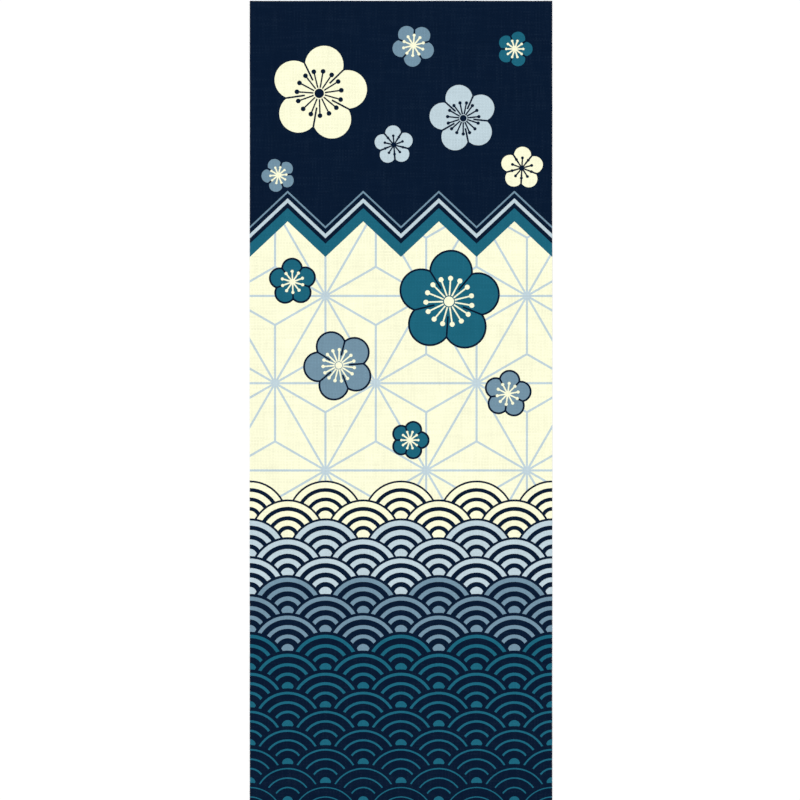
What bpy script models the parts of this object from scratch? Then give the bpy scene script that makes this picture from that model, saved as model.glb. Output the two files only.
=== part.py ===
"""A tenugui: one length of narrow-loom cotton, laid out flat and face up.

Units are metres. +Y runs up the cloth, from its lower cut end to its upper one, +X runs across it
from selvedge to selvedge, and +Z is up, off the surface that it lies on. The origin is the middle
of the underside.
"""

import bmesh
import bpy
from mathutils import Matrix

# The cut: one loom width of cloth, and the length that is cut from the bolt.
CLOTH_WIDTH = 0.340
CLOTH_LENGTH = 0.900
# Two crossing yarns and the air that loose cotton holds. It is the least that a sheet is drawn at.
CLOTH_THICKNESS = 0.001

# The weft yarn turns back round the last warp yarn, so both long sides are round. The radius stops
# just short of half the thickness, so that a narrow flat is left between the two curves.
SELVEDGE_RADIUS = 0.48 * CLOTH_THICKNESS
SELVEDGE_STEPS = 4

NAVY_GROUND = (0.0037, 0.0116, 0.0307, 1.0)
COTTON_ROUGHNESS = 0.9


def clear_scene():
    """Removes whatever the file opened with."""
    for old in list(bpy.data.objects):
        bpy.data.objects.remove(old)


def make_collection(name):
    """Gives the scene a collection of that name."""
    collection = bpy.data.collections.new(name)
    bpy.context.scene.collection.children.link(collection)
    return collection


def dyed_cotton():
    """Matte cotton in the navy that most of the cloth is dyed."""
    material = bpy.data.materials.new("dyed_cotton")
    material.use_nodes = True
    shader = material.node_tree.nodes["Principled BSDF"]
    shader.inputs["Base Color"].default_value = NAVY_GROUND
    shader.inputs["Roughness"].default_value = COTTON_ROUGHNESS
    shader.inputs["Metallic"].default_value = 0.0
    return material


def runs_up_the_cloth(edge):
    """True for an edge along +Y, which on the plain sheet is one of the four selvedge edges."""
    start, end = (vertex.co for vertex in edge.verts)
    return abs((end - start).normalized().y) > 0.99


def cloth_mesh():
    """The sheet as one closed solid: round along the selvedges, square where it was cut."""
    bm = bmesh.new()
    size = Matrix.Diagonal((CLOTH_WIDTH, CLOTH_LENGTH, CLOTH_THICKNESS, 1.0))
    lift = Matrix.Translation((0.0, 0.0, CLOTH_THICKNESS / 2))
    bmesh.ops.create_cube(bm, size=1.0, matrix=lift @ size)
    bmesh.ops.bevel(
        bm,
        geom=[edge for edge in bm.edges if runs_up_the_cloth(edge)],
        offset=SELVEDGE_RADIUS,
        offset_type="OFFSET",
        affect="EDGES",
        segments=SELVEDGE_STEPS,
        profile=0.5,
        material=-1,
    )
    mesh = bpy.data.meshes.new("cotton_cloth")
    bm.to_mesh(mesh)
    bm.free()
    return mesh


def build_cloth(collection):
    """The whole towel is one piece of cloth, lying with its underside at the origin."""
    cloth = bpy.data.objects.new("cotton_cloth", cloth_mesh())
    cloth.data.materials.append(dyed_cotton())
    cloth.data.shade_smooth()
    cloth.data.set_sharp_from_angle(angle=0.6)
    collection.objects.link(cloth)


def main():
    """Lays the towel out in an empty scene."""
    clear_scene()
    build_cloth(make_collection("tenugui"))


main()
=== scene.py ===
"""A tenugui laid out flat: one cut length of narrow-loom cotton in navy, cream, teal and grey-blue.

Shapes are in metres. +X runs across the cloth from selvedge to selvedge, +Y up its length, and +Z
out of its face. The dyed design is in millimetres from the middle of the cloth, because a
dyer's stencil is cut in millimetres.
"""

import logging
import math
import random
from collections.abc import Callable, Iterable
from dataclasses import dataclass
from enum import Enum
from functools import partial
from itertools import pairwise

import bmesh
import bpy
from bmesh.types import BMesh, BMVert
from bpy.types import ID, Material, Mesh, Node, NodeSocket, NodeTree, Object
from mathutils import Matrix, Vector, noise


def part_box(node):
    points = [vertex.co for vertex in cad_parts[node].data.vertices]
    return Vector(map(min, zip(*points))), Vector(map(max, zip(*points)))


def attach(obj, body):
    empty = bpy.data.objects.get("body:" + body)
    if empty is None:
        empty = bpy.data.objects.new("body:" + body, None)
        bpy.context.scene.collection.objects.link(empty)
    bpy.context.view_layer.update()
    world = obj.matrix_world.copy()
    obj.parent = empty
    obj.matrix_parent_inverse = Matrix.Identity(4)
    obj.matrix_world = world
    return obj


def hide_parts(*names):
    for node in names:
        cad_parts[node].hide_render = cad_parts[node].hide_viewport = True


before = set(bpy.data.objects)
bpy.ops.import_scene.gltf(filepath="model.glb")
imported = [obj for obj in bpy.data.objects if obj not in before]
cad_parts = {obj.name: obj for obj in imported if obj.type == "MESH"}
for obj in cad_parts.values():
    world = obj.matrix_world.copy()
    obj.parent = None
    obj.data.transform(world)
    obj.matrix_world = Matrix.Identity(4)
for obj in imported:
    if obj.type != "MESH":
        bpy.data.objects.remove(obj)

LOG = logging.getLogger("tenugui")
MM = 0.001
# More of its own radii than any motif reaches.
OUT_OF_REACH = 9.0

# What a node's socket can be given.
Feed = Node | NodeSocket | float | tuple[float, ...]
# What adds a node to one tree: add_node, with its tree given.
Adder = Callable[..., Node]


def linear(hex_colour: str) -> tuple[float, float, float, float]:
    """Turns an sRGB colour to linear light.

    Args:
        hex_colour: six hex digits after a hash sign.

    Returns:
        Red, green and blue in linear light, and an alpha of 1.
    """
    channels = [int(hex_colour[start : start + 2], 16) / 255 for start in (1, 3, 5)]
    light = [c / 12.92 if c <= 0.04045 else ((c + 0.055) / 1.055) ** 2.4 for c in channels]
    return (*light, 1.0)


def add_node(
    tree: NodeTree,
    kind: str,
    inputs: Iterable[Feed] | dict[str, Feed] = (),
    **settings: object,
) -> Node:
    """Adds a shader node with its settings and its links.

    Args:
        tree: the material's or the world's nodes.
        kind: the node's type, without the ShaderNode that all of them start with.
        inputs: what goes into its enabled sockets, in order as a list or by name as a dict. A node
            stands for its first enabled output.
        settings: the node's own properties.

    Returns:
        The new node.
    """
    node = tree.nodes.new("ShaderNode" + kind)
    for name, value in settings.items():
        setattr(node, name, value)
    sockets = [socket for socket in node.inputs if socket.enabled]
    if isinstance(inputs, dict):
        pairs = [(next(s for s in sockets if s.name == name), inputs[name]) for name in inputs]
    else:
        pairs = list(zip(sockets, inputs))
    for socket, value in pairs:
        if isinstance(value, Node):
            value = next(output for output in value.outputs if output.enabled)
        if isinstance(value, NodeSocket):
            tree.links.new(value, socket)
        else:
            socket.default_value = value
    return node


def finished_mesh(name: str, bm: BMesh) -> Mesh:
    """Turns a shape to a mesh and frees what it was made in.

    Args:
        name: the mesh's name.
        bm: the shape.

    Returns:
        The new mesh.
    """
    mesh = bpy.data.meshes.new(name)
    bm.to_mesh(mesh)
    bm.free()
    return mesh


def placed(name: str, data: ID) -> Object:
    """Puts a mesh, curve, lamp or camera in the scene.

    Args:
        name: the object's name.
        data: what the object shows.

    Returns:
        The new object, at the origin.
    """
    item = bpy.data.objects.new(name, data)
    bpy.context.scene.collection.objects.link(item)
    return item


class Dye(Enum):
    """The cloth's dye baths, each a little darker than it looks in the studio's light."""

    NAVY = "#03152C"
    CREAM = "#F1F1D1"
    TEAL = "#195F74"
    PALE = "#B7C9D1"
    SLATE = "#6E8B9D"

    @property
    def colour(self) -> tuple[float, float, float, float]:
        """The dye in linear light."""
        return linear(self.value)


@dataclass(frozen=True)
class MountainPath:
    """Zigzag stripes, the mountain-path border that closes off the dark upper ground."""

    # The middle of the zigzag line, up from the middle of the cloth.
    height: float = 182.0
    period: float = 85.0
    rise: float = 40.0
    # Each stripe's height and dye, from the line up.
    stripes: tuple[tuple[float, Dye], ...] = (
        (15.0, Dye.TEAL),
        (6.0, Dye.NAVY),
        (5.0, Dye.PALE),
        (6.0, Dye.NAVY),
        (2.5, Dye.SLATE),
    )

    def above(self, add: Adder, place: Node) -> Node:
        """Measures how far a point lies above the zigzag line.

        Args:
            add: adds a node to the material.
            place: the point on the cloth, in millimetres.

        Returns:
            The node that gives that height, negative below the line.
        """
        across, up, _ = add("SeparateXYZ", [place]).outputs
        zigzag = add("Math", [across, self.period / 2], operation="PINGPONG")
        slope = 2 * self.rise / self.period
        foot = self.height - self.rise / 2
        line = add("Math", [zigzag, slope, foot], operation="MULTIPLY_ADD")
        return add("Math", [up, line], operation="SUBTRACT")

    def draw(self, add: Adder, above: Node, ground: Feed) -> Node:
        """Lays the stripes over the ground, from the line up.

        Args:
            add: adds a node to the material.
            above: the height above the line, from the method of that name.
            ground: the colour that lies there so far.

        Returns:
            The node that gives the colour with the stripes on it.
        """
        foot = 0.0
        for width, dye in self.stripes:
            half = width / 2
            stripe = add("Math", [above, foot + half, half], operation="COMPARE")
            ground = add("Mix", [stripe, ground, dye.colour], data_type="RGBA")
            foot += width
        return ground


@dataclass(frozen=True)
class HempLeaf:
    """The hemp-leaf lattice: equal triangles, each cut in three from its middle."""

    side: float = 340 / 3
    # Where lines cross. It is a quarter of a side off the middle, so none runs along a selvedge.
    origin: tuple[float, float] = (-85 / 3, 20.0)
    line: float = 2.4
    dye: Dye = Dye.PALE

    def lines(self, add: Adder, place: Node) -> Node:
        """Draws the lattice's lines.

        A point's distances to the three families of parallel lines, as shares of a triangle's
        height, have a sum of 0. Their fractions are the point's weights in its triangle, or 1 less
        those in a triangle that stands on its tip.

        Args:
            add: adds a node to the material.
            place: the point on the cloth, in millimetres.

        Returns:
            The node that gives 1 on a line and 0 between them.
        """
        height = self.side * math.sqrt(3) / 2
        across, up = self.origin
        shares = add(
            "Mapping",
            {
                "Vector": place,
                "Location": (-across / height, -up / height, 0.0),
                "Scale": (1 / height, 1 / height, 0.0),
            },
        )
        families = []
        for turn in (0, math.tau / 3, -math.tau / 3):
            normal = (math.sin(turn), math.cos(turn), 0.0)
            families.append(add("VectorMath", [shares, normal], operation="DOT_PRODUCT"))
        fractions = add("VectorMath", [add("CombineXYZ", families)], operation="FRACTION")
        # Their sum is 1, or 2 in a triangle that stands on its tip.
        total = add("VectorMath", [fractions, (1.0, 1.0, 1.0)], operation="DOT_PRODUCT")
        on_tip = add("Math", [total, 1.5], operation="GREATER_THAN")
        turned = add("VectorMath", [fractions, on_tip], operation="SUBTRACT")
        weights = add("VectorMath", [turned], operation="ABSOLUTE")
        x, y, z = add("SeparateXYZ", [weights]).outputs
        least = add("Math", [add("Math", [x, y], operation="MINIMUM"), z], operation="MINIMUM")
        most = add("Math", [add("Math", [x, y], operation="MAXIMUM"), z], operation="MAXIMUM")
        rest = add("Math", [1.0, most], operation="SUBTRACT")
        # The weights add up to 1, so this is the middle one less the least, which is 0 on a spoke.
        apart = add("Math", [least, -2.0, rest], operation="MULTIPLY_ADD")
        to_side = add("Math", [least, height], operation="MULTIPLY")
        to_spoke = add("Math", [apart, self.side / 2], operation="MULTIPLY")
        nearest = add("Math", [to_side, to_spoke], operation="MINIMUM")
        return add("Math", [nearest, self.line / 2], operation="LESS_THAN")


@dataclass(frozen=True)
class SeaWaves:
    """Rows of ringed scales, the blue-ocean-waves pattern, from pale crests down to deep water."""

    # Where the scales of the top row have their middles, up from the middle of the cloth.
    crest: float = -132.0
    radius: float = 42.5
    rings: int = 4
    # How many rows take each dye, from the crest down.
    depths: tuple[tuple[int, Dye], ...] = (
        (2, Dye.CREAM),
        (3, Dye.PALE),
        (3, Dye.SLATE),
        (7, Dye.TEAL),
    )
    # The dyed share of each ring, which shrinks from the crest to the deepest row.
    crest_line: float = 0.60
    deep_line: float = 0.15

    def front_scale(self, add: Adder, place: Node) -> tuple[Feed, Feed]:
        """Finds the scale that shows at a point.

        Only three rows can reach a point. The row in front hides those behind it, so they are
        worked through from the back.

        Args:
            add: adds a node to the material.
            place: the point on the cloth, in millimetres.

        Returns:
            What gives the distance from that scale's middle, in radii and over 1 where there is no
            scale, and what gives its row, 0 at the crest and falling.
        """
        step = self.radius / 2
        across, up, _ = add("SeparateXYZ", [place]).outputs
        height = add("Math", [up, 1 / step, -self.crest / step], operation="MULTIPLY_ADD")
        row_below = add("Math", [height], operation="FLOOR")
        up_row = add("Math", [height], operation="FRACT")
        far: Feed = OUT_OF_REACH
        row: Feed = 0.0
        for back in (1, 0, -1):
            this_row = add("Math", [row_below, float(back)], operation="ADD")
            odd = add("Math", [this_row, 1.0], operation="PINGPONG")
            aside = add("Math", [odd, -self.radius, across], operation="MULTIPLY_ADD")
            aside = add("Math", [aside, self.radius, -self.radius], operation="WRAP")
            above = add("Math", [up_row, step, -back * step], operation="MULTIPLY_ADD")
            out = add("VectorMath", [add("CombineXYZ", [aside, above])], operation="LENGTH")
            # There are no scales above the crest, so those are pushed out of reach.
            over = add("Math", [this_row, 0.5], operation="GREATER_THAN")
            share = add("Math", [out, 1 / self.radius, over], operation="MULTIPLY_ADD")
            covers = add("Math", [share, 1.0], operation="LESS_THAN")
            far = add("Mix", [covers, far, share], data_type="FLOAT")
            row = add("Mix", [covers, row, this_row], data_type="FLOAT")
        return far, row

    def water(self, add: Adder, row: Feed) -> Feed:
        """Gives the dye of a row.

        Args:
            add: adds a node to the material.
            row: what gives the row's number.

        Returns:
            What gives the dye.
        """
        water: Feed = self.depths[0][1].colour
        # Each dye starts halfway between two rows.
        start = 0.5
        for (rows, _), (_, dye) in pairwise(self.depths):
            start -= rows
            deeper = add("Math", [row, start], operation="LESS_THAN")
            water = add("Mix", [deeper, water, dye.colour], data_type="RGBA")
        return water

    def draw(self, add: Adder, place: Node, ground: Feed) -> Node:
        """Lays the waves over the ground.

        Args:
            add: adds a node to the material.
            place: the point on the cloth, in millimetres.
            ground: the colour that lies there so far.

        Returns:
            The node that gives the colour with the waves on it.
        """
        far, row = self.front_scale(add, place)
        thinning = (self.crest_line - self.deep_line) / sum(rows for rows, _ in self.depths)
        half_line = add("Math", [row, thinning / 2, self.crest_line / 2], operation="MULTIPLY_ADD")
        # A ring's line runs along its middle, and the innermost ring is filled up to there.
        ring = add("Math", [far, float(self.rings)], operation="MULTIPLY")
        across_ring = add("Math", [ring], operation="FRACT")
        on_line = add("Math", [across_ring, 0.5, half_line], operation="COMPARE")
        in_heart = add("Math", [ring, 0.5], operation="LESS_THAN")
        dyed = add("Math", [on_line, in_heart], operation="MAXIMUM")
        scale = add("Mix", [dyed, Dye.NAVY.colour, self.water(add, row)], data_type="RGBA")
        inside = add("Math", [far, 1.0], operation="LESS_THAN")
        return add("Mix", [inside, ground, scale], data_type="RGBA")


@dataclass(frozen=True)
class Blossom:
    """One plum blossom: its middle, its radius, how far it is turned, and its dye."""

    x: float
    y: float
    radius: float
    turn: float
    dye: Dye


# Strewn, in millimetres from the middle of the cloth and in degrees.
LARGE_BLOSSOMS = (
    Blossom(-92, 346, 54, 8, Dye.CREAM),
    Blossom(70, 318, 38, 30, Dye.PALE),
    Blossom(54, 112, 56, 14, Dye.TEAL),
    Blossom(-70, 40, 38, 40, Dye.SLATE),
)
SMALL_BLOSSOMS = (
    Blossom(14, 400, 24, 50, Dye.SLATE),
    Blossom(128, 396, 20, 0, Dye.TEAL),
    Blossom(-8, 288, 22, 22, Dye.PALE),
    Blossom(136, 262, 24, 15, Dye.CREAM),
    Blossom(-138, 254, 19, 40, Dye.SLATE),
    Blossom(120, 8, 25, 10, Dye.SLATE),
    Blossom(-122, 134, 25, 20, Dye.TEAL),
    Blossom(10, -44, 20, 0, Dye.TEAL),
)


@dataclass(frozen=True)
class PlumBlossoms:
    """Five-petalled plum blossoms of about one size, strewn over both grounds."""

    blossoms: tuple[Blossom, ...]
    petals: int = 5
    stamens: int = 15
    # Shares of a blossom's radius.
    petal_middle: float = 0.60
    petal_radius: float = 0.40
    throat: float = 0.30
    eye: float = 0.10
    stamen_start: float = 0.12
    stamen_end: float = 0.44
    anther: float = 0.05
    # Millimetres, the same on a small blossom as on a large one, as a stencil's bridges are.
    outline: float = 2.2
    petal_gap: float = 1.0
    stamen_width: float = 1.7
    # The stamens are dark on a dye that is lighter than this, and light on a darker one.
    light_dye: float = 0.35

    def nearest(self, add: Adder, place: Node) -> tuple[Feed, Feed, Feed]:
        """Finds the blossom that a point belongs to.

        Args:
            add: adds a node to the material.
            place: the point on the cloth, in millimetres.

        Returns:
            What gives the point in that blossom's own frame, in radii, and the blossom's radius
            and its dye.
        """
        local: Feed = (OUT_OF_REACH, 0.0, 0.0)
        radius: Feed = self.blossoms[0].radius
        dye: Feed = self.blossoms[0].dye.colour
        for blossom in self.blossoms:
            own = add(
                "Mapping",
                {
                    "Vector": place,
                    "Location": (blossom.x, blossom.y, 0.0),
                    "Rotation": (0.0, 0.0, math.radians(blossom.turn)),
                    "Scale": (blossom.radius, blossom.radius, 1.0),
                },
                vector_type="TEXTURE",
            )
            own_far = add("VectorMath", [own], operation="LENGTH")
            far = add("VectorMath", [local], operation="LENGTH")
            nearer = add("Math", [own_far, far], operation="LESS_THAN")
            local = add("Mix", [nearer, local, own], data_type="VECTOR")
            radius = add("Mix", [nearer, radius, float(blossom.radius)], data_type="FLOAT")
            dye = add("Mix", [nearer, dye, blossom.dye.colour], data_type="RGBA")
        return local, radius, dye

    def fold(self, add: Adder, far: Node, angle: Node, count: int) -> tuple[Node, Node]:
        """Folds the point round the middle into one of several like sectors.

        Args:
            add: adds a node to the material.
            far: the distance from the middle.
            angle: the angle round the middle.
            count: how many sectors there are.

        Returns:
            The nodes that give the angle in the sector and the place in it, the sector along X.
        """
        half = math.pi / count
        turn = add("Math", [angle, half, -half], operation="WRAP")
        along = add("Math", [far, add("Math", [turn], operation="COSINE")], operation="MULTIPLY")
        aside = add("Math", [far, add("Math", [turn], operation="SINE")], operation="MULTIPLY")
        return turn, add("CombineXYZ", [along, aside])

    def petal_shape(self, add: Adder, far: Node, angle: Node, radius: Feed) -> tuple[Node, Node]:
        """Draws the petals: round lobes about a round throat, with a thin line between them.

        Args:
            add: adds a node to the material.
            far: the distance from the blossom's middle, in radii.
            angle: the angle round it.
            radius: what gives the blossom's radius, in millimetres.

        Returns:
            The node that gives 1 on the blossom and its outline, and that which gives 1 on a petal.
        """
        turn, in_petal = self.fold(add, far, angle, self.petals)
        middle = (self.petal_middle, 0.0, 0.0)
        past_edge = add("VectorMath", [in_petal, middle], operation="DISTANCE")
        past_edge = add("Math", [past_edge, self.petal_radius], operation="SUBTRACT")
        past_edge = add("Math", [past_edge, radius], operation="MULTIPLY")
        lobe = add("Math", [past_edge, 0.0], operation="LESS_THAN")
        in_throat = add("Math", [far, self.throat], operation="LESS_THAN")
        petal = add("Math", [lobe, in_throat], operation="MAXIMUM")
        near_lobe = add("Math", [past_edge, self.outline], operation="LESS_THAN")
        whole = add("Math", [near_lobe, petal], operation="MAXIMUM")

        aside = add("Math", [turn], operation="ABSOLUTE")
        to_gap = add("Math", [math.pi / self.petals, aside], operation="SUBTRACT")
        to_gap = add("Math", [add("Math", [to_gap], operation="SINE"), far], operation="MULTIPLY")
        to_gap = add("Math", [to_gap, radius], operation="MULTIPLY")
        in_gap = add("Math", [to_gap, self.petal_gap], operation="LESS_THAN")
        in_gap = add("Math", [in_gap, in_throat], operation="SUBTRACT", use_clamp=True)
        return whole, add("Math", [petal, in_gap], operation="SUBTRACT", use_clamp=True)

    def heart_shape(self, add: Adder, far: Node, angle: Node, radius: Feed) -> Node:
        """Draws the eye in the middle and the stamens round it, each with its anther.

        Args:
            add: adds a node to the material.
            far: the distance from the blossom's middle, in radii.
            angle: the angle round it.
            radius: what gives the blossom's radius, in millimetres.

        Returns:
            The node that gives 1 on them.
        """
        _, in_stamen = self.fold(add, far, angle, self.stamens)
        _, beside, _ = add("SeparateXYZ", [in_stamen]).outputs
        beside = add("Math", [beside], operation="ABSOLUTE")
        beside = add("Math", [beside, radius], operation="MULTIPLY")
        thin = add("Math", [beside, self.stamen_width / 2], operation="LESS_THAN")
        middle = (self.stamen_start + self.stamen_end) / 2
        within = add("Math", [far, middle, middle - self.stamen_start], operation="COMPARE")
        stamen = add("Math", [thin, within], operation="MULTIPLY")
        tip = (self.stamen_end + self.anther / 2, 0.0, 0.0)
        to_anther = add("VectorMath", [in_stamen, tip], operation="DISTANCE")
        anther = add("Math", [to_anther, self.anther], operation="LESS_THAN")
        eye = add("Math", [far, self.eye], operation="LESS_THAN")
        heart = add("Math", [stamen, anther], operation="MAXIMUM")
        return add("Math", [heart, eye], operation="MAXIMUM")

    def draw(self, add: Adder, place: Node, ground: Feed) -> Node:
        """Lays the blossoms over the ground.

        Args:
            add: adds a node to the material.
            place: the point on the cloth, in millimetres.
            ground: the colour that lies there so far.

        Returns:
            The node that gives the colour with the blossoms on it.
        """
        local, radius, dye = self.nearest(add, place)
        x, y, _ = add("SeparateXYZ", [local]).outputs
        angle = add("Math", [y, x], operation="ARCTAN2")
        far = add("VectorMath", [local], operation="LENGTH")
        whole, petal = self.petal_shape(add, far, angle, radius)
        heart = self.heart_shape(add, far, angle, radius)
        lightness = add("RGBToBW", [dye])
        light = add("Math", [lightness, self.light_dye], operation="GREATER_THAN")
        heart_dye = add("Mix", [light, Dye.CREAM.colour, Dye.NAVY.colour], data_type="RGBA")
        ground = add("Mix", [whole, ground, Dye.NAVY.colour], data_type="RGBA")
        ground = add("Mix", [petal, ground, dye], data_type="RGBA")
        return add("Mix", [heart, ground, heart_dye], data_type="RGBA")


@dataclass(frozen=True)
class DyedCotton:
    """Plain-weave cotton sheeting, dyed through, so the design shows on both faces.

    It is matt and a little fuzzy. The spun yarn is thick in places and thin in others, so each one
    takes the dye a little differently, which shows as faint lines both ways across flat areas,
    and dye creeps a yarn or so past each edge of the design.
    """

    path: MountainPath = MountainPath()
    lattice: HempLeaf = HempLeaf()
    waves: SeaWaves = SeaWaves()
    large: PlumBlossoms = PlumBlossoms(LARGE_BLOSSOMS)
    small: PlumBlossoms = PlumBlossoms(SMALL_BLOSSOMS, stamens=10, eye=0.13, anther=0.07)
    # Millimetres, as are all the lengths here. The real yarns are 0.5 mm apart, under half a pixel.
    # They are drawn 1.7 mm apart, so that one over and one under take three pixels.
    yarn_pitch: float = 1.7
    thick_length: float = 45.0
    # The fibres lie in the yarn with its twist, given as a slope. They show only from close by.
    fibre_length: float = 3.0
    fibre_width: float = 0.25
    twist: float = 0.3
    dye_creep: float = 0.5
    creep_size: float = 1.0
    mottle: float = 30.0
    # How much the mottle counts beside the yarn's own thickness.
    mottle_share: float = 0.35
    # A crown's height, and what thick yarn and the fibres add to it, as shares of it.
    relief: float = 0.12
    thick_relief: float = 0.8
    fibre_relief: float = 0.12
    # The lower this power, the flatter a crown is along its yarn.
    crown_power: float = 0.4
    # How far apart in the noise neighbouring yarns are, and the warp is from the weft.
    yarn_gap: float = 7.31
    warp_gap: float = 5.0
    # The reach of each noise: the yarn's thickness, the same with the mottle, and the fibres.
    yarn_span: tuple[float, float] = (0.3, 0.7)
    depth_span: tuple[float, float] = (0.42, 0.93)
    fibre_span: tuple[float, float] = (0.35, 0.65)
    # From thin yarn to thick: the dye's depth and the roughness.
    tone: tuple[float, float] = (0.92, 1.10)
    roughness: tuple[float, float] = (0.95, 0.82)
    # The most that undyed fibre shows of itself, and the thickness at which it starts and is most.
    undyed: float = 0.036
    undyed_span: tuple[float, float] = (0.50, 0.75)
    # Painted shade in the gaps between the yarns, and a painted highlight on their crowns.
    painted_gap_shade: tuple[float, float] = (0.91, 1.09)
    # Painted shade between the fibres, and a painted highlight on them.
    painted_fibre_shade: tuple[float, float] = (0.97, 1.03)
    sheen: float = 0.04
    sheen_roughness: float = 0.5
    shine: float = 0.03

    def design(self, add: Adder, place: Node) -> Node:
        """Draws the whole dyed design, from the ground up.

        Args:
            add: adds a node to the material.
            place: the point on the cloth, in millimetres.

        Returns:
            The node that gives the dye.
        """
        above = self.path.above(add, place)
        lines = self.lattice.lines(add, place)
        field = add("Mix", [lines, Dye.CREAM.colour, self.lattice.dye.colour], data_type="RGBA")
        in_field = add("Math", [above, 0.0], operation="LESS_THAN")
        ground = add("Mix", [in_field, Dye.NAVY.colour, field], data_type="RGBA")
        ground = self.path.draw(add, above, ground)
        ground = self.waves.draw(add, place, ground)
        ground = self.large.draw(add, place, ground)
        return self.small.draw(add, place, ground)

    def thickness(self, add: Adder, place: Node, counted: Node, turns: Feed) -> Node:
        """Gives how thick the yarn on top is. Each yarn has thick and thin places of its own.

        Args:
            add: adds a node to the material.
            place: the point on the cloth, in millimetres.
            counted: the point on the cloth, in yarns.
            turns: what gives 1 where the warp is on top and 0 where the weft is.

        Returns:
            The node that gives a number about 0.5, more where the yarn is thick.
        """
        number = add("VectorMath", [counted], operation="FLOOR")
        column, row, _ = add("SeparateXYZ", [number]).outputs
        across, up, _ = add("SeparateXYZ", [place]).outputs
        # Each yarn reads the noise along a line of its own, well apart from its neighbours' lines.
        along = 1 / self.thick_length
        weft = add("CombineXYZ", [across, row])
        weft = add("Mapping", {"Vector": weft, "Scale": (along, self.yarn_gap, 1.0)})
        warp = add("CombineXYZ", [column, up, self.warp_gap])
        warp = add("Mapping", {"Vector": warp, "Scale": (self.yarn_gap, along, 1.0)})
        spun = {"Scale": 1.0, "Detail": 2.0, "Roughness": 0.6}
        weft = add("TexNoise", {"Vector": weft} | spun)
        warp = add("TexNoise", {"Vector": warp} | spun)
        return add("Mix", [turns, weft, warp], data_type="FLOAT")

    def fibres(self, add: Adder, place: Node, turns: Feed) -> Node:
        """Draws the fibres of the yarn on top, which run along it and slant with its twist.

        Args:
            add: adds a node to the material.
            place: the point on the cloth, in millimetres.
            turns: what gives 1 where the warp is on top and 0 where the weft is.

        Returns:
            The node that gives 0 between the fibres and 1 on them.
        """
        x, y, _ = add("SeparateXYZ", [place]).outputs
        along = add("Mix", [turns, x, y], data_type="FLOAT")
        across = add("Mix", [turns, y, x], data_type="FLOAT")
        across = add("Math", [along, self.twist, across], operation="MULTIPLY_ADD")
        lie = add("CombineXYZ", [along, across, turns])
        scale = (1 / self.fibre_length, 1 / self.fibre_width, self.warp_gap)
        lie = add("Mapping", {"Vector": lie, "Scale": scale})
        spun = add("TexNoise", {"Vector": lie, "Scale": 1.0, "Detail": 1.0})
        return add("MapRange", [spun, *self.fibre_span, 0.0, 1.0])

    def crowns(self, add: Adder, counted: Node, turns: Feed) -> Node:
        """Gives plain weave's relief: a long round crown wherever one yarn passes over another.

        Args:
            add: adds a node to the material.
            counted: the point on the cloth, in yarns.
            turns: what gives 1 where the warp is on top and 0 where the weft is.

        Returns:
            The node that gives 0 between the yarns and 1 on a crown.
        """
        phase = add("VectorMath", [counted, (math.pi, math.pi, 0.0)], operation="MULTIPLY")
        arches = add("VectorMath", [phase], operation="SINE")
        arches = add("VectorMath", [arches], operation="ABSOLUTE")
        x, y, _ = add("SeparateXYZ", [arches]).outputs
        across = add("Mix", [turns, y, x], data_type="FLOAT")
        along = add("Mix", [turns, x, y], data_type="FLOAT")
        along = add("Math", [along, self.crown_power], operation="POWER")
        return add("Math", [across, along], operation="MULTIPLY")

    def material(self) -> Material:
        """Makes the cloth's one material.

        Returns:
            The material. It reads Object coordinates, so a yarn piece takes the dye beside it.
        """
        material = bpy.data.materials.new("dyed_cotton_sheeting")
        material.use_nodes = True
        tree = material.node_tree
        tree.nodes.clear()
        add: Adder = partial(add_node, tree)
        metres = add("TexCoord").outputs["Object"]
        place = add("Mapping", {"Vector": metres, "Scale": (1 / MM, 1 / MM, 0.0)})

        # The noise is about 0.5 on average, so the dye creeps every way alike.
        creep = add("TexNoise", {"Vector": place, "Scale": 1 / self.creep_size, "Detail": 1.0})
        creep = add("VectorMath", [creep.outputs["Color"], (0.5, 0.5, 0.5)], operation="SUBTRACT")
        reach = (self.dye_creep, self.dye_creep, 0.0)
        crept = add("VectorMath", [creep, reach, place], operation="MULTIPLY_ADD")
        dye = self.design(add, crept)

        pitch = (1 / self.yarn_pitch, 1 / self.yarn_pitch, 0.0)
        counted = add("VectorMath", [place, pitch], operation="MULTIPLY")
        turns = add("TexChecker", {"Vector": counted, "Scale": 1.0}).outputs["Fac"]
        yarn = self.thickness(add, place, counted, turns)
        crowns = self.crowns(add, counted, turns)
        fibres = self.fibres(add, place, turns)

        mottle = add("TexNoise", {"Vector": place, "Scale": 1 / self.mottle, "Detail": 2.0})
        depth = add("Math", [mottle, self.mottle_share, yarn], operation="MULTIPLY_ADD")
        tone = add("MapRange", [depth, *self.depth_span, *self.tone])
        # Painted shade in the gaps between the yarns and a painted highlight on their crowns, from
        # the crowns' relief.
        painted_gap_shade = add("MapRange", [crowns, 0.0, 1.0, *self.painted_gap_shade])
        tone = add("Math", [tone, painted_gap_shade], operation="MULTIPLY")
        # Painted shade between the fibres and a painted highlight on them, from the fibres' relief.
        painted_fibre_shade = add("MapRange", [fibres, 0.0, 1.0, *self.painted_fibre_shade])
        tone = add("Math", [tone, painted_fibre_shade], operation="MULTIPLY")
        dye = add("VectorMath", [dye, tone], operation="MULTIPLY")
        # Thick yarn has some fibres that took no dye, so it looks a little paler on the dark dyes.
        pale = add("MapRange", [yarn, *self.undyed_span, 0.0, self.undyed])
        pale = add("Math", [pale, fibres], operation="MULTIPLY")
        dye = add("Mix", [pale, dye, Dye.SLATE.colour], data_type="RGBA")

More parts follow.
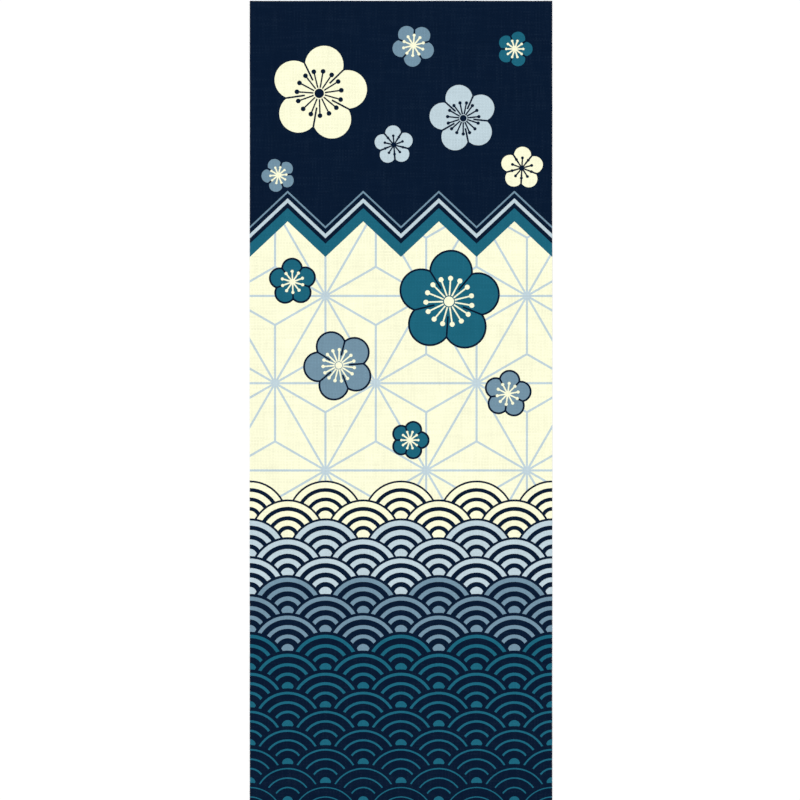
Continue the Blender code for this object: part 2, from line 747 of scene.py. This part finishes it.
        height = add("Math", [yarn, self.thick_relief, crowns], operation="MULTIPLY_ADD")
        height = add("Math", [fibres, self.fibre_relief, height], operation="MULTIPLY_ADD")
        bump = add("Bump", {"Strength": 1.0, "Distance": self.relief * MM, "Height": height})
        rough = add("MapRange", [yarn, *self.yarn_span, *self.roughness])
        cotton = add(
            "BsdfPrincipled",
            {
                "Base Color": dye,
                "Roughness": rough,
                "Normal": bump,
                "Metallic": 0.0,
                "Specular IOR Level": self.shine,
                "Sheen Weight": self.sheen,
                "Sheen Roughness": self.sheen_roughness,
            },
        )
        add("OutputMaterial", {"Surface": cotton})
        return material


@dataclass(frozen=True)
class StudioPaper:
    """Matt white background paper, which looks the same from every side."""

    colour: str = "#F4F4F4"

    def material(self) -> Material:
        """Makes the paper's material.

        Returns:
            The material, with no gloss at all.
        """
        material = bpy.data.materials.new("studio_paper")
        material.use_nodes = True
        tree = material.node_tree
        tree.nodes.clear()
        paper = add_node(tree, "BsdfDiffuse", {"Color": linear(self.colour), "Roughness": 0.0})
        add_node(tree, "OutputMaterial", {"Surface": paper})
        return material


@dataclass
class ClothBody:
    """The cloth as one thin closed sheet, with all of its weave but the yarns at its rim."""

    width: float
    length: float
    thickness: float = 0.45 * MM
    # Both long sides are woven denser, over a narrow band.
    selvedge_band: float = 4.0 * MM
    selvedge_extra: float = 0.10 * MM
    # The woven body stops short of the cut, where the warp has come loose.
    end_margin: float = 0.2 * MM
    mesh_step: float = 3.0 * MM
    # Cloth laid out by hand lies flat, but for low soft swells where the noise is over a level.
    swell: float = 0.35 * MM
    swell_length: float = 90.0 * MM
    swell_seed: float = 4.3
    swell_level: float = 0.08
    # How far the edges wander, and the seeds of the right, left, upper and lower one.
    straightness: float = 0.20 * MM
    edge_seeds: tuple[float, float, float, float] = (11.0, 23.0, 37.0, 51.0)
    # The rim is where the sheet turns by more than this angle, and it is rounded by this share of
    # the thickness. Its faces are those whose normals rise less than this.
    rim_turn: float = 1.0
    rim_round: float = 0.4
    rim_rise: float = 0.9
    # What the colour map leaves empty round each half, as a share of its side.
    map_border: float = 0.006

    @property
    def top(self) -> float:
        """The highest that the cloth can reach."""
        return self.thickness + self.swell + self.selvedge_extra

    def swelling(self, x: float, y: float) -> float:
        """Gives how far the underside is off the surface, which is nothing over most of it."""
        place = Vector((x / self.swell_length, y / self.swell_length, self.swell_seed))
        return self.swell * max(0.0, noise.noise(place) - self.swell_level)

    def wander(self, along: float, seed: float) -> float:
        """Gives how far the edge of that seed strays from a straight line, to either side."""
        return self.straightness * noise.noise(Vector((along / self.swell_length, seed, 0.0)))

    def lay(self, x: float, y: float) -> Vector:
        """Gives where a point of the plain rectangle comes to lie.

        Args:
            x: its place across the cloth, from -0.5 to 0.5 of the width.
            y: its place along it, from -0.5 to 0.5 of the length.

        Returns:
            The point on the cloth's underside.
        """
        right, left, upper, lower = self.edge_seeds
        across = x * self.width
        along = y * (self.length - 2 * self.end_margin)
        across += 2 * abs(x) * self.wander(along, right if x > 0 else left)
        along += 2 * abs(y) * self.wander(across, upper if y > 0 else lower)
        return Vector((across, along, self.swelling(across, along)))

    def depth(self, across: float) -> float:
        """Gives how thick the cloth is, a little more along its selvedges."""
        inside = (self.width / 2 - abs(across)) / self.selvedge_band
        return self.thickness + self.selvedge_extra * max(0.0, 1.0 - inside * inside)

    def mesh(self) -> Mesh:
        """Builds the sheet.

        Returns:
            A closed mesh, its rim rounded, with the map that its colours are best read through.
        """
        columns = round(self.width / self.mesh_step)
        rows = 2 * round(self.length / self.mesh_step / 2)
        bm = bmesh.new()
        bmesh.ops.create_grid(bm, x_segments=columns, y_segments=rows, size=0.5)
        underside = bm.verts[:]
        made = bmesh.ops.extrude_face_region(bm, geom=bm.faces[:], use_keep_orig=True)["geom"]
        face = [item for item in made if isinstance(item, BMVert)]
        for vertex in underside:
            vertex.co = self.lay(vertex.co.x, vertex.co.y)
        for vertex in face:
            vertex.co = self.lay(vertex.co.x, vertex.co.y)
            vertex.co.z += self.depth(vertex.co.x)
        bmesh.ops.recalc_face_normals(bm, faces=bm.faces[:])
        rim = [edge for edge in bm.edges if edge.calc_face_angle(0.0) > self.rim_turn]
        bmesh.ops.bevel(
            bm,
            geom=rim,
            offset=self.rim_round * self.thickness,
            offset_type="OFFSET",
            affect="EDGES",
            segments=2,
            profile=0.5,
            material=-1,
        )
        self.map_colours(bm)
        mesh = finished_mesh("cloth_body", bm)
        mesh.shade_smooth()
        return mesh

    def map_colours(self, bm: BMesh) -> None:
        """Gives the sheet a map whose two halves stand side by side, seen from above.

        Both faces share it, because the dye goes through, which leaves it twice as fine. The
        rim is spread a little outwards, so that it has some width there.

        Args:
            bm: the sheet.
        """
        layer = bm.loops.layers.uv.new("OFBake")
        border = self.map_border
        for face in bm.faces:
            upper = face.calc_center_median().y > 0
            on_rim = abs(face.normal.z) < self.rim_rise
            for loop in face.loops:
                x, y, z = loop.vert.co
                if on_rim:
                    x += face.normal.x * (self.top - z)
                    y += face.normal.y * (self.top - z)
                u = (x / self.width + 0.5) * (0.5 - 2 * border) + border + 0.5 * upper
                v = (y / self.length + 0.5 * (not upper)) * 2 * (1 - 2 * border) + border
                loop[layer].uv = (u, v)


@dataclass
class YarnWork:
    """Small lengths of yarn along one side of the cloth, joined in one mesh."""

    name: str
    body: ClothBody
    seed: int
    yarn: float = 0.30 * MM

    def middle(self, x: float, y: float) -> Vector:
        """Gives a point halfway through the cloth.

        Args:
            x: its place across the cloth, from -0.5 to 0.5 of the width.
            y: its place along it, from -0.5 to 0.5 of the length.

        Returns:
            The point.
        """
        point = self.body.lay(x, y)
        point.z += self.body.depth(point.x) / 2
        return point

    def joined(self, bm: BMesh) -> Mesh:
        """Turns all the yarns to one smooth mesh, the mirrored ones the right side out again.

        Args:
            bm: the yarns.

        Returns:
            The piece's mesh.
        """
        bmesh.ops.recalc_face_normals(bm, faces=bm.faces[:])
        mesh = finished_mesh(self.name, bm)
        mesh.shade_smooth()
        return mesh


@dataclass
class CutEnd(YarnWork):
    """A cut end: the warp stands out past the last weft, and one weft has begun to come away."""

    upper: bool = True
    pitch: float = 0.5 * MM
    root: float = 0.6 * MM
    # The least and most that a yarn end stands out, rises for its length, and thins to at a step.
    standing: tuple[float, float] = (0.1 * MM, 0.6 * MM)
    rising: tuple[float, float] = (-0.06, 0.10)
    thinning: tuple[float, float] = (0.75, 0.95)
    # The spread of how far it bends aside for its length, and of the angle that it is set askew.
    bending: float = 0.16
    askew: float = 0.08
    sides: int = 5
    steps: int = 3
    patterns: int = 12
    # How far out the loose weft lies, and the share of that by which it strays. It reads the noise
    # over noise_length, on a line drawn from between 0 and noise_lines.
    loose_weft: float = 0.12 * MM
    stray: float = 0.5
    noise_length: float = 30.0
    noise_lines: float = 50.0
    # How far it rides over and under the warp, as a share of its own thickness.
    over_under: float = 0.2

    def tip(self, draw: random.Random) -> Mesh:
        """Models one warp yarn's end, along +Y from its root.

        Args:
            draw: what the yarn's length, bend and taper are drawn from.

        Returns:
            A closed, bent and tapered tube.
        """
        reach = self.root + draw.uniform(*self.standing)
        bend = Vector((draw.gauss(0, self.bending), 1.0, draw.uniform(*self.rising)))
        bm = bmesh.new()
        upright = Matrix.Rotation(-math.pi / 2, 4, "X")
        bmesh.ops.create_circle(
            bm, cap_ends=True, segments=self.sides, radius=self.yarn / 2, matrix=upright
        )
        for step in range(self.steps):
            cap = max(bm.faces, key=lambda face: face.calc_center_median().y)
            # With its edges given too, the old cap goes, and none is left inside the tube.
            made = bmesh.ops.extrude_face_region(bm, geom=[cap, *cap.edges, *cap.verts])["geom"]
            verts = [item for item in made if isinstance(item, BMVert)]
            lean = Vector((bend.x * step, 1.0, bend.z * step))
            bmesh.ops.translate(bm, verts=verts, vec=lean * reach / self.steps)
            shrink = draw.uniform(*self.thinning)
            middle = sum((v.co for v in verts), Vector()) / len(verts)
            bmesh.ops.scale(
                bm, verts=verts, vec=(shrink, 1.0, shrink), space=Matrix.Translation(-middle)
            )
        return finished_mesh("yarn_tip", bm)

    def mesh(self) -> Mesh:
        """Sets a yarn end at every warp yarn, and lays the loose weft across them.

        Returns:
            The joined mesh.
        """
        draw = random.Random(self.seed)
        side = 1 if self.upper else -1
        tips = [self.tip(draw) for _ in range(self.patterns)]
        count = round(self.body.width / self.pitch)
        bm = bmesh.new()
        for number in range(count):
            share = (number + 0.5) / count - 0.5
            place = self.middle(share, side * 0.5)
            place.y -= side * self.root
            turn = Matrix.Rotation(draw.gauss(0, self.askew), 4, "Z")
            flip = Matrix.Diagonal((draw.choice((-1, 1)), side, 1, 1))
            yarn = draw.choice(tips).copy()
            yarn.transform(Matrix.Translation(place) @ turn @ flip)
            bm.from_mesh(yarn)
            bpy.data.meshes.remove(yarn)
        for tip in tips:
            bpy.data.meshes.remove(tip)
        weft = self.loose_yarn(count, side, draw)
        bm.from_mesh(weft)
        bpy.data.meshes.remove(weft)
        return self.joined(bm)

    def loose_yarn(self, count: int, side: int, draw: random.Random) -> Mesh:
        """Lays one weft yarn over and under the warp ends, just past the woven edge.

        Args:
            count: how many warp yarns it crosses.
            side: 1 at the upper end and -1 at the lower one.
            draw: what its wandering is drawn from.

        Returns:
            The yarn's mesh.
        """
        curve = bpy.data.curves.new("loose_weft", "CURVE")
        curve.dimensions = "3D"
        curve.bevel_depth = self.yarn / 2
        curve.bevel_resolution = 0
        curve.use_fill_caps = True
        spline = curve.splines.new("POLY")
        spline.points.add(2 * count)
        line = draw.uniform(0, self.noise_lines)
        for number, point in enumerate(spline.points):
            share = number / (2 * count) - 0.5
            place = self.middle(share, side * 0.5)
            stray = self.stray * noise.noise(Vector((share * self.noise_length, line, 0.0)))
            place.y += side * self.loose_weft * (1.0 + stray)
            place.z += self.over_under * self.yarn * math.sin(math.pi * number / 2)
            point.co = (*place, 1.0)
        carrier = placed("loose_weft", curve)
        seen = carrier.evaluated_get(bpy.context.evaluated_depsgraph_get())
        mesh = bpy.data.meshes.new_from_object(seen)
        bpy.data.objects.remove(carrier)
        bpy.data.curves.remove(curve)
        # A curve's caps are loose, so they are welded on.
        bm = bmesh.new()
        bm.from_mesh(mesh)
        bmesh.ops.remove_doubles(bm, verts=bm.verts[:], dist=self.yarn / 1000)
        bm.to_mesh(mesh)
        bm.free()
        return mesh


@dataclass
class Selvedge(YarnWork):
    """A selvedge: the weft turns back round the last warp yarn, one small loop for two wefts."""

    right: bool = True
    pitch: float = 1.0 * MM
    turn_radius: float = 0.25 * MM
    sides: int = 4
    steps: int = 4
    slant: float = 0.35
    # The most and the least that a loop is set in from the edge, and how its size varies.
    inset: tuple[float, float] = (0.22 * MM, 0.12 * MM)
    sizes: tuple[float, float] = (0.9, 1.1)
    # There are this many loops fewer than the pitch gives, so they are a hair farther apart.
    left_out: int = 2

    def loop(self) -> Mesh:
        """Models one turn of the weft, round the Z axis on its +X side.

        Returns:
            A closed half ring.
        """
        bm = bmesh.new()
        stand = Matrix.Translation((0, -self.turn_radius, 0)) @ Matrix.Rotation(math.pi / 2, 4, "Y")
        made = bmesh.ops.create_circle(
            bm, cap_ends=True, segments=self.sides, radius=self.yarn / 2, matrix=stand
        )["verts"]
        bmesh.ops.spin(
            bm,
            geom=[*made, *bm.edges[:], *bm.faces[:]],
            cent=(0, 0, 0),
            axis=(0, 0, 1),
            angle=math.pi,
            steps=self.steps,
        )
        bmesh.ops.rotate(bm, verts=bm.verts[:], matrix=Matrix.Rotation(self.slant, 3, "X"))
        return finished_mesh("weft_turn", bm)

    def mesh(self) -> Mesh:
        """Sets a loop for every two wefts along the side.

        Returns:
            The joined mesh.
        """
        draw = random.Random(self.seed)
        side = 1 if self.right else -1
        loop = self.loop()
        count = round(self.body.length / self.pitch) - self.left_out
        bm = bmesh.new()
        for number in range(count):
            share = (number + 0.5) / count - 0.5
            place = self.middle(side * 0.5, share)
            place.x -= side * draw.uniform(*self.inset)
            wide, long = draw.uniform(*self.sizes), draw.uniform(*self.sizes)
            size = Matrix.Diagonal((side * wide, long, 1, 1))
            yarn = loop.copy()
            yarn.transform(Matrix.Translation(place) @ size)
            bm.from_mesh(yarn)
            bpy.data.meshes.remove(yarn)
        bpy.data.meshes.remove(loop)
        return self.joined(bm)


@dataclass
class Towel:
    """The whole tenugui: the cloth body with its two cut ends and its two selvedges."""

    width: float
    length: float
    finish: DyedCotton = DyedCotton()

    def piece(self, name: str, mesh: Mesh, cotton: Material) -> Object:
        """Makes one piece of the towel, which rides on the part's one body.

        Args:
            name: the piece's name.
            mesh: its shape, where it lies.
            cotton: the cloth's material.

        Returns:
            The piece, at the origin.
        """
        piece = placed(name, mesh)
        mesh.materials.append(cotton)
        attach(piece, "root")
        return piece

    def build(self) -> list[Object]:
        """Returns:
            The pieces, the cloth body first.
        """
        cotton = self.finish.material()
        body = ClothBody(self.width, self.length)
        cloth = self.piece("towel_cloth", body.mesh(), cotton)
        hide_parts("cotton_cloth")
        works = [
            CutEnd("upper_cut_end", body, seed=41, upper=True),
            CutEnd("lower_cut_end", body, seed=97, upper=False),
            Selvedge("right_selvedge", body, seed=7, right=True),
            Selvedge("left_selvedge", body, seed=19, right=False),
        ]
        rims = [self.piece(work.name, work.mesh(), cotton) for work in works]
        return [cloth, *rims]


@dataclass(frozen=True)
class Picture:
    """The reference picture: a square, with the towel upright in the middle of it. In pixels."""

    side: float = 800.0
    left_selvedge: float = 249.9
    right_selvedge: float = 552.1
    upper_end: float = 1.0

    def pixel(self, width: float) -> float:
        """Gives the size of a pixel on a towel of that width."""
        return width / (self.right_selvedge - self.left_selvedge)

    def middle(self, width: float, length: float) -> tuple[float, float]:
        """Finds the picture's middle on the towel.

        Args:
            width: the towel's width.
            length: its length.

        Returns:
            X and Y in metres, from the towel's own middle.
        """
        pixel = self.pixel(width)
        towel_x = (self.left_selvedge + self.right_selvedge) / 2
        towel_y = self.upper_end + length / pixel / 2
        return (self.side / 2 - towel_x) * pixel, (towel_y - self.side / 2) * pixel


@dataclass
class Studio:
    """White paper under the towel, even soft light, and a camera straight above."""

    width: float
    length: float
    picture: Picture = Picture()
    paper: StudioPaper = StudioPaper()
    lens: float = 100.0
    sensor: float = 36.0
    floor_radius: float = 90.0
    floor_sides: int = 96
    floor_drop: float = 0.05 * MM
    # Light from all round and one broad lamp. Together they light the paper to just over white.
    sky: float = 1.0
    key: float = 0.65
    key_height: float = math.radians(40)
    key_from: float = math.radians(135)
    key_spread: float = math.radians(25)

    def lay_floor(self) -> Object:
        """Lays the paper just under the towel.

        Returns:
            The paper, which isn't part of the model.
        """
        bm = bmesh.new()
        drop = Matrix.Translation((0, 0, -self.floor_drop))
        bmesh.ops.create_circle(
            bm, cap_ends=True, segments=self.floor_sides, radius=self.floor_radius, matrix=drop
        )
        mesh = finished_mesh("studio_floor", bm)
        mesh.materials.append(self.paper.material())
        floor = placed("studio_floor", mesh)
        return floor

    def hang_lights(self) -> Object:
        """Lights the towel evenly from all round, and a little more from its upper left.

        Returns:
            The lamp.
        """
        world = bpy.data.worlds.new("studio_white")
        world.use_nodes = True
        world.node_tree.nodes.clear()
        glow = add_node(
            world.node_tree, "Background", {"Color": linear("#FFFFFF"), "Strength": self.sky}
        )
        add_node(world.node_tree, "OutputWorld", {"Surface": glow})
        bpy.context.scene.world = world
        lamp = bpy.data.lights.new("key_light", "SUN")
        lamp.energy = self.key
        lamp.angle = self.key_spread
        key = placed("key_light", lamp)
        level = math.cos(self.key_height)
        towards = Vector(
            (
                level * math.cos(self.key_from),
                level * math.sin(self.key_from),
                math.sin(self.key_height),
            )
        )
        key.rotation_mode = "QUATERNION"
        key.rotation_quaternion = towards.to_track_quat("Z", "Y")
        return key

    def set_camera(self) -> Object:
        """Hangs the camera over the picture's middle, at the height that frames the same square.

        Returns:
            The camera.
        """
        data = bpy.data.cameras.new("camera")
        data.lens = self.lens
        data.sensor_width = self.sensor
        camera = placed("camera", data)
        x, y = self.picture.middle(self.width, self.length)
        framed = self.picture.side * self.picture.pixel(self.width)
        camera.location = (x, y, framed * self.lens / self.sensor)
        bpy.context.scene.camera = camera
        return camera

    def build(self) -> None:
        """Sets up the floor, the light and the camera."""
        bpy.context.scene.view_settings.view_transform = "Standard"
        for item in (self.lay_floor(), self.hang_lights(), self.set_camera()):
            LOG.info("%s: in place", item.name)


def main() -> None:
    """Builds the studio and the towel."""
    logging.basicConfig(level=logging.INFO, format="%(name)s %(message)s")
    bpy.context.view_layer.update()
    low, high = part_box("cotton_cloth")
    width, length = high.x - low.x, high.y - low.y
    Studio(width, length).build()
    for piece in Towel(width, length).build():
        LOG.info("%s: %d faces", piece.name, len(piece.data.polygons))


if __name__ == "__main__":
    main()
